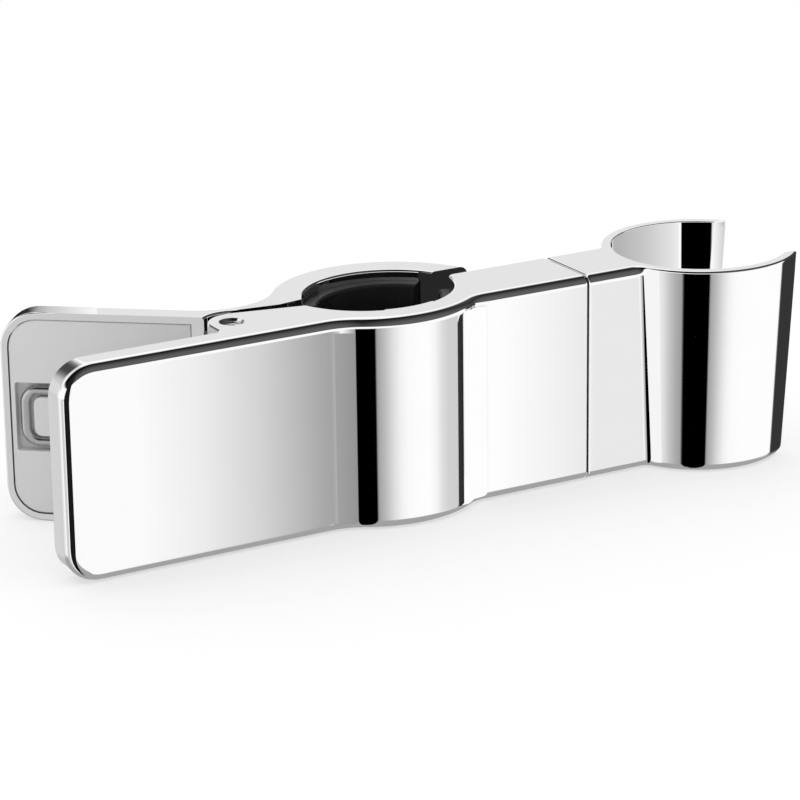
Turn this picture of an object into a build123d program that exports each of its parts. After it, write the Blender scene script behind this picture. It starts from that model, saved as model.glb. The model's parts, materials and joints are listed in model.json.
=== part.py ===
from build123d import *
import os
from math import asin, atan2, cos, degrees, radians, sin, sqrt

os.makedirs("parts", exist_ok=True)

# The rail runs along Z through the origin, X runs along the arm to the cup, Y to the back.
# Lengths are in millimetres, angles in degrees.

# Overall sizes
height = 32.0
face_wall = 0.9
lever_length = 30.5
arm_length = 17.05
lever_thickness = 4.6
arm_thickness = 12.3
lever_corner = 5.2
skin_round = 1.5
edge_round = 0.4

# Jaws and their rubber liners
rail_diameter = 22.0
liner_thickness = 2.0
liner_recess = 1.65
liner_round = 0.4
bond_gap = 0.05
front_jaw_wall = 4.7
back_jaw_wall = 5.5
front_jaw_start = 199.0
lever_blend = 9.0
arm_blend = 6.0
jaw_mouth_round = 1.2
jaw_horn_round = 0.6
liner_end_gap = 2.0

# Hinge, seen from above, and the stack along its pin
hinge_wall = 12.3
hinge_set = 7.9
lug_radius = 4.3
lug_shift_x = 0.8
lug_shift_y = -0.2
lug_flat = 1.2
lug_corner = 0.8
lug_gap = 1.0
front_ear_height = 3.9
back_ear_height = 3.1
ear_gap = 0.15
back_ear_radius = 4.2
web_depth = 5.2
pocket_gap = 0.5
pin_radius = 1.5
pin_recess = 0.6
pin_chamfer = 0.35
pin_dimple = 0.5
press_gap = 0.02
running_gap = 0.05

# Back piece: it grips the rail when it has opened by the closure angle
closure = 14.0
lever_flare = 24.0
back_lever_reach = 34.6
back_lever_set = 1.5
back_lever_thickness = 4.4
back_lever_corner = 5.5
back_blend = 9.5
back_skin_round = 1.2
back_jaw_start = 172.0
knee_x = 8.6
knee_y = 6.2
closing_gap = 2.3

# Lever inlays
rim_width = 1.05
inlay_gap = 0.12
inlay_sink = 0.15
back_inlay_thickness = 2.3
front_inlay_thickness = 1.6
back_inlay_start = 6.2

# Double torsion spring
wire_diameter = 1.5
coil_radius = 2.45
coil_pitch = 1.7
coil_turns = 2
coil_gap = 0.4
coil_end_gap = 0.75
bail_bend = 2.0
bail_end_gap = 2.4
leg_reach = 24.0
groove_gap = 0.55
groove_floor_gap = 0.06
pad_gap = 0.2
pad_end_gap = 0.6
pad_round = 1.2

# Holder cup
stub_length = 9.325
cup_shift = 0.35
cup_top_radius = 15.1
cup_bottom_radius = 13.75
cup_lean = 0.2
cup_wall = 1.7
cup_slot = 20.0
cup_mouth_turn = -3.0
cup_foot_round = 1.2
seam_gap = 0.3
seam_round = 0.35

# Swivel inside the arm and the stub
screw_radius = 2.0
screw_head_radius = 3.5
screw_head_height = 1.6
screw_hold = 8.0
hex_width = 2.5
hex_depth = 0.9
insert_radius = 3.0
insert_length = 9.6
disc_radius = 4.4
disc_recess = 0.6
disc_gap = 0.05
bush_radius = 3.2
bush_flange_radius = 4.2
bush_flange = 0.8
bush_length = 5.6
counterbore_radius = 4.6
washer_radius = 4.0
washer_thickness = 0.5
cone_washer_thickness = 0.4
cone_washer_rise = 0.4
stack_gap = 0.05
cap_gap = 0.05
stop_pin_radius = 1.0
stop_pin_orbit = 6.1
stop_pin_seat = 5.0
stop_pin_stand = 1.6
stop_pin_gap = 0.2
stop_angle = 40.0

# Values worked out from the driving sizes
half = height / 2
bore_radius = rail_diameter / 2 + liner_thickness
face_y = -(bore_radius + face_wall)
hinge_x = -(bore_radius + hinge_wall)
hinge_y = face_y + hinge_set
lever_reach = lever_length - hinge_x
arm_reach = bore_radius + arm_length
cup_x = arm_reach + stub_length + (cup_top_radius + cup_bottom_radius) / 2
lever_back_y = face_y + lever_thickness
arm_back_y = face_y + arm_thickness
swivel_y = face_y + arm_thickness / 2
front_jaw_radius = bore_radius + front_jaw_wall
back_jaw_radius = bore_radius + back_jaw_wall
jaw_end_y = bore_radius * sin(radians(front_jaw_start))
jaw_end_x = bore_radius * cos(radians(front_jaw_start))
mouth_x = sqrt(bore_radius**2 - arm_back_y**2)
bulge_x = sqrt(front_jaw_radius**2 - face_y**2)
front_ear_inside = half - front_ear_height
back_ear_outside = front_ear_inside - ear_gap
back_ear_inside = back_ear_outside - back_ear_height
lug_x = hinge_x + lug_shift_x
lug_y = hinge_y + lug_shift_y
lug_left_x = lug_x - lug_radius
lug_back_y = lug_y + lug_radius
pocket_radius = back_ear_radius + pocket_gap
liner_height = height - 2 * liner_recess
wire_radius = wire_diameter / 2
spring_pocket_radius = coil_radius + wire_radius + coil_gap
leg_z = back_ear_inside - coil_end_gap - coil_turns * coil_pitch - wire_radius
bail_height = 2 * leg_z + wire_diameter

# Back piece's own frame at the hinge, drawn in the pose in which it grips the rail
closed = radians(closure)
flare = radians(lever_flare)
rest_flare = closed + flare
grip_plane = Plane(origin=(hinge_x, hinge_y, 0), x_dir=(cos(closed), -sin(closed), 0), z_dir=(0, 0, 1))
along_lever = Vector(-cos(rest_flare), sin(rest_flare), 0)
behind_lever = Vector(sin(rest_flare), cos(rest_flare), 0)
hinge_point = Vector(hinge_x, hinge_y, 0)
lever_face_plane = Plane(
    origin=hinge_point + behind_lever * back_lever_set, x_dir=along_lever, z_dir=-behind_lever
)
front_face_plane = Plane(origin=(0, lever_back_y, 0), x_dir=(-1, 0, 0), z_dir=(0, 1, 0))
seam_plane = Plane(origin=(arm_reach, swivel_y, 0), x_dir=(0, 1, 0), z_dir=(1, 0, 0))
stub_plane = seam_plane.offset(seam_gap)
swivel_plane = Plane(origin=(0, swivel_y, 0), x_dir=(1, 0, 0), z_dir=(0, 0, 1))
swivel_axis = Axis((0, swivel_y, 0), (1, 0, 0))
cup_y = swivel_y - cup_shift
stub_x = arm_reach + seam_gap
groove_radius = stop_pin_radius + stop_pin_gap
groove_floor = coil_radius + wire_radius + groove_floor_gap
front_inlay_start = -lug_left_x + rim_width
front_inlay_end = lever_reach - rim_width
back_inlay_end = back_lever_reach - rim_width


def rest_point(along, behind, z):
    """Point beside the back lever at rest: distance along it, distance behind the pin, height."""
    return hinge_point + along_lever * along + behind_lever * behind + Vector(0, 0, z)


def ring_sector(inner, outer, start, end):
    """Closed outline of a piece of a ring about the sketch's origin."""
    with BuildLine() as outline:
        far = CenterArc((0, 0), outer, start, end - start)
        near = CenterArc((0, 0), inner, start, end - start)
        Line(far @ 0, near @ 0)
        Line(far @ 1, near @ 1)
    make_face(outline.edges())


def grip_point(along, behind):
    """Point beside the back lever in the grip frame, counted from the pin towards the jaw."""
    return (along * cos(flare) + behind * sin(flare), behind * cos(flare) - along * sin(flare))


def from_rest(x, y):
    """Point of the rest pose, carried into the grip frame."""
    x, y = x - hinge_x, y - hinge_y
    return (x * cos(closed) - y * sin(closed), x * sin(closed) + y * cos(closed))


def to_rest(x, y):
    """Point of the grip frame, carried into the rest pose."""
    return (hinge_x + x * cos(closed) + y * sin(closed), hinge_y - x * sin(closed) + y * cos(closed))


def inlay_outline(sketch, start, end, corner, gap):
    """Outline of a lever inlay's seat, or of the inlay itself when a gap is left round it."""
    with Locations(((start + end) / 2, 0)):
        Rectangle(end - start - 2 * gap, height - 2 * rim_width - 2 * gap)
    fillet(sketch.vertices().group_by(Axis.X)[-1], corner - rim_width - gap)


def turned(*points):
    """Solid turned about the swivel axis from places along that axis and radii."""
    with BuildSketch(swivel_plane) as profile:
        with BuildLine():
            Polyline(*points, close=True)
        make_face()
    revolve(profile.sketch, swivel_axis)


def cup_circle(z, wall):
    """Circle of the tapered cup at a height, inside its wall where one is given."""
    rise = (z + half) / height
    with Locations((cup_x - cup_lean * (1 - rise), cup_y)):
        Circle(cup_bottom_radius + (cup_top_radius - cup_bottom_radius) * rise - wall)


# Front piece: lever, jaw, hinge ears and arm in one
with BuildPart() as clamp_body:
    with BuildSketch(Plane.XY.offset(-half)) as front_outline:
        Circle(front_jaw_radius)
        with Locations((0, jaw_end_y)):
            wide = 3 * front_jaw_radius
            Rectangle(wide, wide, align=(Align.CENTER, Align.MAX), mode=Mode.INTERSECT)
        with Locations((-lever_reach, face_y)):
            Rectangle(lever_reach, lever_thickness, align=(Align.MIN, Align.MIN))
        with Locations((0, face_y)):
            Rectangle(arm_reach, arm_thickness, align=(Align.MIN, Align.MIN))
        with BuildLine():
            Polyline(
                (lug_left_x, face_y),
                (lug_left_x, lug_back_y),
                (lug_x + lug_flat, lug_back_y),
                (jaw_end_x, jaw_end_y),
                (0, jaw_end_y),
                (0, face_y),
                close=True,
            )
        make_face()
        Circle(bore_radius, mode=Mode.SUBTRACT)
        front_corners = [
            (-bulge_x, face_y, lever_blend),
            (bulge_x, face_y, arm_blend),
            (lug_left_x, lug_back_y, lug_radius),
            (lug_left_x, lever_back_y, lug_corner),
            (lug_x + lug_flat, lug_back_y, lug_radius),
            (jaw_end_x, jaw_end_y, jaw_horn_round),
            (mouth_x, arm_back_y, jaw_mouth_round),
        ]
        for x, y, radius in front_corners:
            fillet(front_outline.vertices().sort_by_distance((x, y))[0], radius)
    extrude(amount=height)
    fillet(clamp_body.edges().filter_by(Axis.Y).group_by(Axis.X)[0], lever_corner)
    skin = clamp_body.edges().filter_by(lambda edge: edge.center().Y < face_y + edge_round)
    skin_end = skin.filter_by(Axis.Z).sort_by(Axis.X)[:1]
    skin = skin.filter_by(Axis.Z, reverse=True) + skin_end
    fillet(skin.filter_by(lambda edge: edge.center().X < arm_reach - edge_round), skin_round)
    level = clamp_body.edges().filter_by(lambda edge: abs(edge.center().Z) > half - edge_round / 2)
    bore_rims = level.filter_by(GeomType.CIRCLE)
    bore_rims = bore_rims.filter_by(lambda edge: abs(edge.radius - bore_radius) < bond_gap)
    back_rims = level.filter_by(lambda edge: edge.center().Y > face_y + skin_round + edge_round)
    back_rims = back_rims.filter_by(Axis.Y, reverse=True)
    lever_end = clamp_body.edges().filter_by(lambda edge: edge.center().X < lever_corner - lever_reach)
    lever_end = lever_end.filter_by(lambda edge: abs(edge.center().Y - lever_back_y) < bond_gap)
    fillet(bore_rims + back_rims + lever_end, edge_round)
    fillet(clamp_body.faces().sort_by(Axis.X)[-1].edges(), seam_round)
    # Room between the ears for the back piece's ears and the spring
    with BuildSketch(Plane.XY.offset(-front_ear_inside)):
        with Locations((hinge_x, hinge_y)):
            Circle(pocket_radius)
        with Locations((hinge_x + pocket_radius, hinge_y)):
            Rectangle(2 * pocket_radius, 2 * pocket_radius, align=(Align.MAX, Align.MIN))
        with Locations((hinge_x, lever_back_y)):
            Rectangle(2 * pocket_radius, 2 * pocket_radius, align=(Align.MAX, Align.MIN))
    extrude(amount=2 * front_ear_inside, mode=Mode.SUBTRACT)
    # Pin hole through both ears
    with Locations((hinge_x, hinge_y, 0)):
        Cylinder(pin_radius + press_gap, height, mode=Mode.SUBTRACT)
    pin_mouths = clamp_body.edges().filter_by(GeomType.CIRCLE)
    pin_mouths = pin_mouths.filter_by(lambda edge: abs(edge.radius - pin_radius - press_gap) < bond_gap)
    chamfer(pin_mouths.group_by(Axis.Z)[0] + pin_mouths.group_by(Axis.Z)[-1], pin_chamfer)
    # Seat of the front inlay
    with BuildSketch(front_face_plane) as front_seat:
        inlay_outline(front_seat, front_inlay_start, front_inlay_end, lever_corner, 0)
    extrude(amount=-(inlay_sink + front_inlay_thickness + inlay_gap), mode=Mode.SUBTRACT)
    # Seats of the swivel's insert, friction disc and stop pin in the arm's end
    with BuildSketch(seam_plane):
        Circle(insert_radius + press_gap)
    extrude(amount=-(disc_recess + insert_length), mode=Mode.SUBTRACT)
    with BuildSketch(seam_plane):
        Circle(disc_radius + press_gap)
    extrude(amount=-disc_recess, mode=Mode.SUBTRACT)
    with BuildSketch(seam_plane):
        with Locations((0, stop_pin_orbit)):
            Circle(stop_pin_radius + press_gap)
    extrude(amount=-stop_pin_seat, mode=Mode.SUBTRACT)

clamp_body.part.label = "clamp_body"
export_step(clamp_body.part, "parts/clamp_body.step")

# Back piece: lever, jaw and inner ears in one
lever_outer = back_lever_set + back_lever_thickness
rail_along = -hinge_x * cos(flare) + hinge_y * sin(flare)
rail_across = -hinge_x * sin(flare) - hinge_y * cos(flare)
valley_along = rail_along - sqrt(back_jaw_radius**2 - (rail_across - lever_outer) ** 2)
notch_radius = lug_radius + lug_gap
notch_x, notch_y = from_rest(lug_x, lug_y)
tip_y = arm_back_y + closing_gap
rest_rail_x, rest_rail_y = to_rest(-hinge_x, -hinge_y)
jaw_start = radians(back_jaw_start)
bore_start = (bore_radius * cos(jaw_start) - hinge_x, bore_radius * sin(jaw_start) - hinge_y)
valley = grip_point(valley_along, lever_outer)
tip_rise = tip_y - rest_rail_y
rest_rail = Vector(rest_rail_x, rest_rail_y, 0)


def on_back_skin(edge):
    """Tells the rim of the back piece's outer skin from its other edges."""
    middle = edge.center()
    from_hinge = middle - hinge_point
    on_lever = abs(from_hinge.dot(behind_lever) - lever_outer) < bond_gap
    at_lever_end = from_hinge.dot(along_lever) > back_lever_reach - bond_gap
    if edge.geom_type == GeomType.LINE and abs((edge @ 1 - edge @ 0).Z) > edge_round:
        return on_lever and at_lever_end
    on_jaw = abs((middle - rest_rail - Vector(0, 0, middle.Z)).length - back_jaw_radius) < bond_gap
    on_valley = edge.geom_type == GeomType.CIRCLE and abs(edge.radius - back_blend) < bond_gap
    return on_lever or on_jaw or on_valley


with BuildPart() as back_jaw:
    with BuildSketch(grip_plane.offset(-half)) as back_outline:
        with Locations((-hinge_x, -hinge_y)):
            Circle(back_jaw_radius)
        with BuildLine():
            Polyline(
                grip_point(-back_lever_reach, back_lever_set),
                grip_point(-back_lever_reach, lever_outer),
                grip_point(valley_along + back_blend, lever_outer),
                grip_point(valley_along + back_blend, back_lever_set),
                close=True,
            )
        make_face()
        fillet(back_outline.vertices().sort_by_distance(valley)[0], back_blend)
        with BuildLine():
            Polyline(
                (notch_x, notch_y),
                (notch_x, notch_y + notch_radius),
                (knee_x, knee_y),
                bore_start,
                (-hinge_x, bore_start[1]),
                (-hinge_x, -height),
                (notch_x, -height),
                close=True,
            )
        make_face(mode=Mode.SUBTRACT)
        with BuildLine():
            Polyline(
                from_rest(rest_rail_x - bore_radius / 2, tip_y),
                from_rest(arm_reach, tip_y),
                from_rest(arm_reach, -height),
                from_rest(rest_rail_x - bore_radius / 2, -height),
                close=True,
            )
        make_face(mode=Mode.SUBTRACT)
        with Locations((-hinge_x, -hinge_y)):
            Circle(bore_radius, mode=Mode.SUBTRACT)
        fillet(back_outline.vertices().sort_by_distance(bore_start)[0], jaw_horn_round)
    extrude(amount=height)
    fillet(back_jaw.edges().filter_by(Axis(hinge_point, behind_lever)), back_lever_corner)
    fillet(back_jaw.edges().filter_by(on_back_skin), back_skin_round)
    bore_rims = back_jaw.edges().filter_by(GeomType.CIRCLE)
    bore_rims = bore_rims.filter_by(lambda edge: abs(edge.radius - bore_radius) < bond_gap)
    fillet(bore_rims, edge_round)
    fillet(back_jaw.faces().filter_by(Plane.XZ).sort_by(Axis.X)[-1].edges(), seam_round)
    # Notches above and below, round the front piece's ears
    for level in (back_ear_outside, -half):
        with BuildSketch(Plane.XY.offset(level)):
            with Locations((lug_x, lug_y)):
                Circle(notch_radius)
        extrude(amount=half - back_ear_outside, mode=Mode.SUBTRACT)
    # Ears on the pin, and the web that carries them
    for level in (back_ear_inside, -back_ear_outside):
        with BuildSketch(Plane.XY.offset(level)):
            with Locations((hinge_x, hinge_y)):
                Circle(back_ear_radius)
                Rectangle(back_ear_radius, web_depth, align=(Align.MIN, Align.MIN))
        extrude(amount=back_ear_height)
    # Room for the spring's coils, its two legs to the bail and the inlay
    with BuildSketch(Plane.XY.offset(-back_ear_inside)):
        with Locations((hinge_x, hinge_y)):
            Circle(spring_pocket_radius)
    extrude(amount=2 * back_ear_inside, mode=Mode.SUBTRACT)
    with BuildSketch(lever_face_plane):
        Rectangle(back_inlay_start, bail_height + 2 * groove_gap, align=(Align.MIN, Align.CENTER))
    extrude(amount=-(groove_floor - back_lever_set), mode=Mode.SUBTRACT)
    with BuildSketch(lever_face_plane) as back_seat:
        inlay_outline(back_seat, back_inlay_start, back_inlay_end, back_lever_corner, 0)
    extrude(amount=-(inlay_sink + back_inlay_thickness + inlay_gap), mode=Mode.SUBTRACT)
    with Locations((hinge_x, hinge_y, 0)):
        Cylinder(pin_radius + running_gap, height, mode=Mode.SUBTRACT)
back_jaw.part.label = "back_jaw"
export_step(back_jaw.part, "parts/back_jaw.step")

# Pin pressed into the front piece's ears
with BuildPart() as hinge_pin:
    with Locations((hinge_x, hinge_y, 0)):
        Cylinder(pin_radius, height - 2 * pin_recess)
    chamfer(hinge_pin.edges().filter_by(GeomType.CIRCLE), pin_chamfer)
    with Locations((hinge_x, hinge_y, half - pin_recess), (hinge_x, hinge_y, pin_recess - half)):
        Sphere(pin_dimple, mode=Mode.SUBTRACT)
hinge_pin.part.label = "hinge_pin"
export_step(hinge_pin.part, "parts/hinge_pin.step")

# Rubber liners bonded in the jaws
liner_gap_angle = degrees(liner_end_gap / bore_radius)
front_liner_start = front_jaw_start + liner_gap_angle
front_liner_end = 360 + degrees(asin(arm_back_y / bore_radius)) - liner_gap_angle
back_liner_start = degrees(asin(tip_rise / bore_radius)) + closure + liner_gap_angle
back_liner_end = back_jaw_start - liner_gap_angle
with BuildPart() as front_jaw_liner:
    with BuildSketch(Plane.XY.offset(-liner_height / 2)):
        ring_sector(rail_diameter / 2, bore_radius - bond_gap, front_liner_start, front_liner_end)
    extrude(amount=liner_height)
    inner_rims = front_jaw_liner.faces().filter_by(GeomType.CYLINDER).sort_by(SortBy.AREA)[0].edges()
    fillet(inner_rims, liner_round)
front_jaw_liner.part.label = "front_jaw_liner"
export_step(front_jaw_liner.part, "parts/front_jaw_liner.step")

back_rail_plane = Plane(origin=rest_rail, x_dir=grip_plane.x_dir, z_dir=(0, 0, 1))
with BuildPart() as back_jaw_liner:
    with BuildSketch(back_rail_plane.offset(-liner_height / 2)):
        ring_sector(rail_diameter / 2, bore_radius - bond_gap, back_liner_start, back_liner_end)
    extrude(amount=liner_height)
    inner_rims = back_jaw_liner.faces().filter_by(GeomType.CYLINDER).sort_by(SortBy.AREA)[0].edges()
    fillet(inner_rims, liner_round)
back_jaw_liner.part.label = "back_jaw_liner"
export_step(back_jaw_liner.part, "parts/back_jaw_liner.step")

# Inlay of the back lever, with the groove for the spring's bail
bail_outer = back_lever_reach - bail_end_gap
groove_height = bail_height + 2 * groove_gap
pad_height = bail_height - 2 * wire_diameter - 2 * pad_gap
with BuildPart() as back_lever_panel:
    with BuildSketch(lever_face_plane.offset(-inlay_sink)) as panel_outline:
        inlay_outline(panel_outline, back_inlay_start, back_inlay_end, back_lever_corner, inlay_gap)
    extrude(amount=-back_inlay_thickness)
    with BuildSketch(lever_face_plane.offset(-inlay_sink)) as groove:
        Rectangle(bail_outer + groove_gap, groove_height, align=(Align.MIN, Align.CENTER))
        fillet(groove.vertices().group_by(Axis.X)[-1], edge_round)
    extrude(amount=back_lever_set + inlay_sink - groove_floor, mode=Mode.SUBTRACT)
    with BuildSketch(lever_face_plane.offset(-inlay_sink)) as pad:
        with Locations((back_inlay_start + inlay_gap, 0)):
            pad_length = bail_outer - wire_diameter - pad_end_gap - back_inlay_start - inlay_gap
            Rectangle(pad_length, pad_height, align=(Align.MIN, Align.CENTER))
        fillet(pad.vertices().group_by(Axis.X)[-1], pad_round)
    extrude(amount=-back_inlay_thickness)
back_lever_panel.part.label = "back_lever_panel"
export_step(back_lever_panel.part, "parts/back_lever_panel.step")

# Plain inlay of the front lever, which the spring's free legs lie on
with BuildPart() as front_lever_panel:
    with BuildSketch(front_face_plane.offset(-inlay_sink)) as panel_outline:
        inlay_outline(panel_outline, front_inlay_start, front_inlay_end, lever_corner, inlay_gap)
    extrude(amount=-front_inlay_thickness)
front_lever_panel.part.label = "front_lever_panel"
export_step(front_lever_panel.part, "parts/front_lever_panel.step")

# Double torsion spring: the bail, then two coils round the pin, then two free legs, bent from one wire
bail_along = bail_outer - wire_radius
leg_angle = degrees(atan2(behind_lever.Y, behind_lever.X))
coil_apex = sqrt(coil_radius**2 + (coil_pitch / 2) ** 2)
with BuildPart() as torsion_spring:
    with BuildLine() as wire_path:
        bail_middle = rest_point(bail_along, coil_radius, 0)
        bail = Line(bail_middle, rest_point(bail_along, coil_radius, leg_z - bail_bend))
        bend_end = rest_point(bail_along - bail_bend, coil_radius, leg_z)
        TangentArc(bail @ 1, bend_end, tangent=bail % 1)
        Line(bend_end, rest_point(0, coil_radius, leg_z))
        CenterArc(rest_point(0, 0, leg_z), coil_radius, leg_angle, -90 - leg_angle)
        for turn in range(coil_turns):
            low = leg_z + turn * coil_pitch
            front = hinge_point + Vector(0, -coil_radius, low)
            left = hinge_point + Vector(-coil_apex, 0, low + coil_pitch / 2)
            back = hinge_point + Vector(0, coil_radius, low + coil_pitch)
            right = hinge_point + Vector(coil_radius, 0, low + coil_pitch)
            front_again = hinge_point + Vector(0, -coil_radius, low + coil_pitch)
            ThreePointArc(front, left, back)
            ThreePointArc(back, right, front_again)
        Line(front_again, front_again - Vector(leg_reach, 0, 0))
    with BuildSketch(Plane(origin=wire_path.line @ 0, z_dir=(0, 0, 1))):
        Circle(wire_radius)
    sweep(path=wire_path.line)
    mirror(about=Plane.XY)
torsion_spring.part.label = "torsion_spring"
export_step(torsion_spring.part, "parts/torsion_spring.step")

# Stub of the cup, up to the seam with the arm
with BuildPart() as stub:
    with BuildSketch(Plane.XY.offset(-half)):
        with Locations((stub_x, face_y)):
            Rectangle(cup_x - stub_x, arm_thickness, align=(Align.MIN, Align.MIN))
    extrude(amount=height)
    long_edges = stub.edges().filter_by(Axis.X).group_by(Axis.Y)
    fillet(long_edges[0], skin_round)
    fillet(long_edges[-1], edge_round)
    fillet(stub.faces().sort_by(Axis.X)[0].edges(), seam_round)

# Open tapered cup that holds the hand shower's cone
with BuildPart() as holder_cup:
    for z in (-half, half):
        with BuildSketch(Plane.XY.offset(z)):
            cup_circle(z, 0)
    loft(ruled=True)
    fillet(holder_cup.edges().filter_by(Plane.XY).sort_by(Axis.Z)[0], cup_foot_round)
    fillet(holder_cup.edges().filter_by(Plane.XY).sort_by(Axis.Z)[-1], edge_round)
    add(stub.part)
    for z in (-height, height):
        with BuildSketch(Plane.XY.offset(z)):
            cup_circle(z, cup_wall)
    loft(ruled=True, mode=Mode.SUBTRACT)
    with BuildSketch(Plane.XY.offset(-half)):
        with Locations(Location((cup_x, cup_y, 0), (0, 0, cup_mouth_turn))):
            Rectangle(2 * cup_top_radius, cup_slot, align=(Align.MIN, Align.CENTER))
    extrude(amount=height, mode=Mode.SUBTRACT)
    # Seats of the bush, the screw's head and its cap, and the groove of the stop pin
    with BuildSketch(stub_plane):
        Circle(bush_radius + press_gap)
    extrude(amount=bush_length, mode=Mode.SUBTRACT)
    with BuildSketch(stub_plane.offset(bush_length)):
        Circle(counterbore_radius)
    extrude(amount=cup_x - stub_x - bush_length, mode=Mode.SUBTRACT)
    with BuildSketch(stub_plane):
        inner, outer = stop_pin_orbit - groove_radius, stop_pin_orbit + groove_radius
        ring_sector(inner, outer, 90 - stop_angle, 90 + stop_angle)
        with PolarLocations(stop_pin_orbit, 2, 90 - stop_angle, 2 * stop_angle, endpoint=True):
            Circle(groove_radius)
    extrude(amount=stop_pin_stand - seam_gap + stop_pin_gap, mode=Mode.SUBTRACT)
holder_cup.part.label = "holder_cup"
export_step(holder_cup.part, "parts/holder_cup.step")

# Turned pieces of the swivel, from the arm to the cup
insert_end = arm_reach - disc_recess
with BuildPart() as threaded_insert:
    turned(
        (insert_end - insert_length + bond_gap, screw_radius + press_gap),
        (insert_end - insert_length + bond_gap, insert_radius),
        (insert_end, insert_radius),
        (insert_end, screw_radius + press_gap),
    )
threaded_insert.part.label = "threaded_insert"
export_step(threaded_insert.part, "parts/threaded_insert.step")

with BuildPart() as friction_disc:
    turned(
        (insert_end + disc_gap, screw_radius + running_gap),
        (insert_end + disc_gap, disc_radius),
        (stub_x - disc_gap, disc_radius),
        (stub_x - disc_gap, screw_radius + running_gap),
    )
friction_disc.part.label = "friction_disc"
export_step(friction_disc.part, "parts/friction_disc.step")

flange_x = stub_x + bush_length
with BuildPart() as swivel_bush:
    turned(
        (stub_x, screw_radius + running_gap),
        (stub_x, bush_radius),
        (flange_x, bush_radius),
        (flange_x, bush_flange_radius),
        (flange_x + bush_flange, bush_flange_radius),
        (flange_x + bush_flange, screw_radius + running_gap),
    )
swivel_bush.part.label = "swivel_bush"
export_step(swivel_bush.part, "parts/swivel_bush.step")

cone_x = flange_x + bush_flange + stack_gap
cone_end = cone_x + cone_washer_rise + cone_washer_thickness
with BuildPart() as disc_spring:
    turned(
        (cone_x, washer_radius),
        (cone_x + cone_washer_thickness, washer_radius),
        (cone_end, screw_radius + stop_pin_gap),
        (cone_end - cone_washer_thickness, screw_radius + stop_pin_gap),
    )
disc_spring.part.label = "disc_spring"
export_step(disc_spring.part, "parts/disc_spring.step")

washer_x = cone_end + stack_gap
with BuildPart() as thrust_washer:
    turned(
        (washer_x, screw_radius + running_gap),
        (washer_x, washer_radius),
        (washer_x + washer_thickness, washer_radius),
        (washer_x + washer_thickness, screw_radius + running_gap),
    )
thrust_washer.part.label = "thrust_washer"
export_step(thrust_washer.part, "parts/thrust_washer.step")

head_x = washer_x + washer_thickness
head_end = head_x + screw_head_height
with BuildPart() as swivel_screw:
    turned(
        (insert_end - screw_hold, 0),
        (insert_end - screw_hold, screw_radius),
        (head_x, screw_radius),
        (head_x, screw_head_radius),
        (head_end, screw_head_radius),
        (head_end, 0),
    )
    with BuildSketch(seam_plane.offset(head_end - arm_reach)):
        RegularPolygon(hex_width / 2, 6, major_radius=False)
    extrude(amount=-hex_depth, mode=Mode.SUBTRACT)
swivel_screw.part.label = "swivel_screw"
export_step(swivel_screw.part, "parts/swivel_screw.step")

with BuildPart() as swivel_stop_pin:
    with BuildSketch(seam_plane.offset(-stop_pin_seat)):
        with Locations((0, stop_pin_orbit)):
            Circle(stop_pin_radius)
    extrude(amount=stop_pin_seat + stop_pin_stand)
    chamfer(swivel_stop_pin.edges().filter_by(GeomType.CIRCLE), pin_chamfer)
swivel_stop_pin.part.label = "swivel_stop_pin"
export_step(swivel_stop_pin.part, "parts/swivel_stop_pin.step")

# Cap over the screw's head, flush with the cup's inside
with BuildPart() as screw_cap:
    with BuildSketch(seam_plane.offset(head_end + stack_gap - arm_reach)):
        Circle(counterbore_radius - cap_gap)
    extrude(amount=cup_x - head_end)
    for z in (-height, height):
        with BuildSketch(Plane.XY.offset(z)):
            cup_circle(z, cup_wall)
    loft(ruled=True, mode=Mode.SUBTRACT)
screw_cap.part.label = "screw_cap"
export_step(screw_cap.part, "parts/screw_cap.step")
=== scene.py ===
import bpy
import json
from math import asin, atan2, ceil, cos, degrees, pi, radians, sin, sqrt, tan
from mathutils import Matrix, Vector, kdtree


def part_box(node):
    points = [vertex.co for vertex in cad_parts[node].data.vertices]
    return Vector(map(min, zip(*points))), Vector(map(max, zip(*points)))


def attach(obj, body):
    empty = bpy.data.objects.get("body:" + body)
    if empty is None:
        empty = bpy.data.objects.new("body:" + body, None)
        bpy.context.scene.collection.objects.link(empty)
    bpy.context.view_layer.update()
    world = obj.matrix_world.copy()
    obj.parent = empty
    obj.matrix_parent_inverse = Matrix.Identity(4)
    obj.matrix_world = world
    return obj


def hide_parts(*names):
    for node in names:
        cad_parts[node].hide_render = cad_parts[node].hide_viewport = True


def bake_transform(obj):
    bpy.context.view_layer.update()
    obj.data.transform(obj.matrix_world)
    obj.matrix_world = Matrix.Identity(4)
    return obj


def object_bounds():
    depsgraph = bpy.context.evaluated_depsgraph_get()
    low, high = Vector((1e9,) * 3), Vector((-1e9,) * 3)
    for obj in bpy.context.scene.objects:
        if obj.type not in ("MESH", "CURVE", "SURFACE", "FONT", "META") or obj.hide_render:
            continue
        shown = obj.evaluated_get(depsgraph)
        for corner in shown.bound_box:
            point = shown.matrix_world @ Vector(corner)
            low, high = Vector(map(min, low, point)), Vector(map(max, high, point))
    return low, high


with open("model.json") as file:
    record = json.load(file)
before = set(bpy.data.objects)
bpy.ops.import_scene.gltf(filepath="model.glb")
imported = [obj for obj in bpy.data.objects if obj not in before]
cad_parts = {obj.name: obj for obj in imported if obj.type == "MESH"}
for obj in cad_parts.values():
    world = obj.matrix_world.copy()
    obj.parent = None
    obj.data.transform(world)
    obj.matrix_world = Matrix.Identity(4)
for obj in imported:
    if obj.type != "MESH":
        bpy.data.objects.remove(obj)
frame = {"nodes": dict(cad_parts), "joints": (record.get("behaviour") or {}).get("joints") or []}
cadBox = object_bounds()

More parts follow.
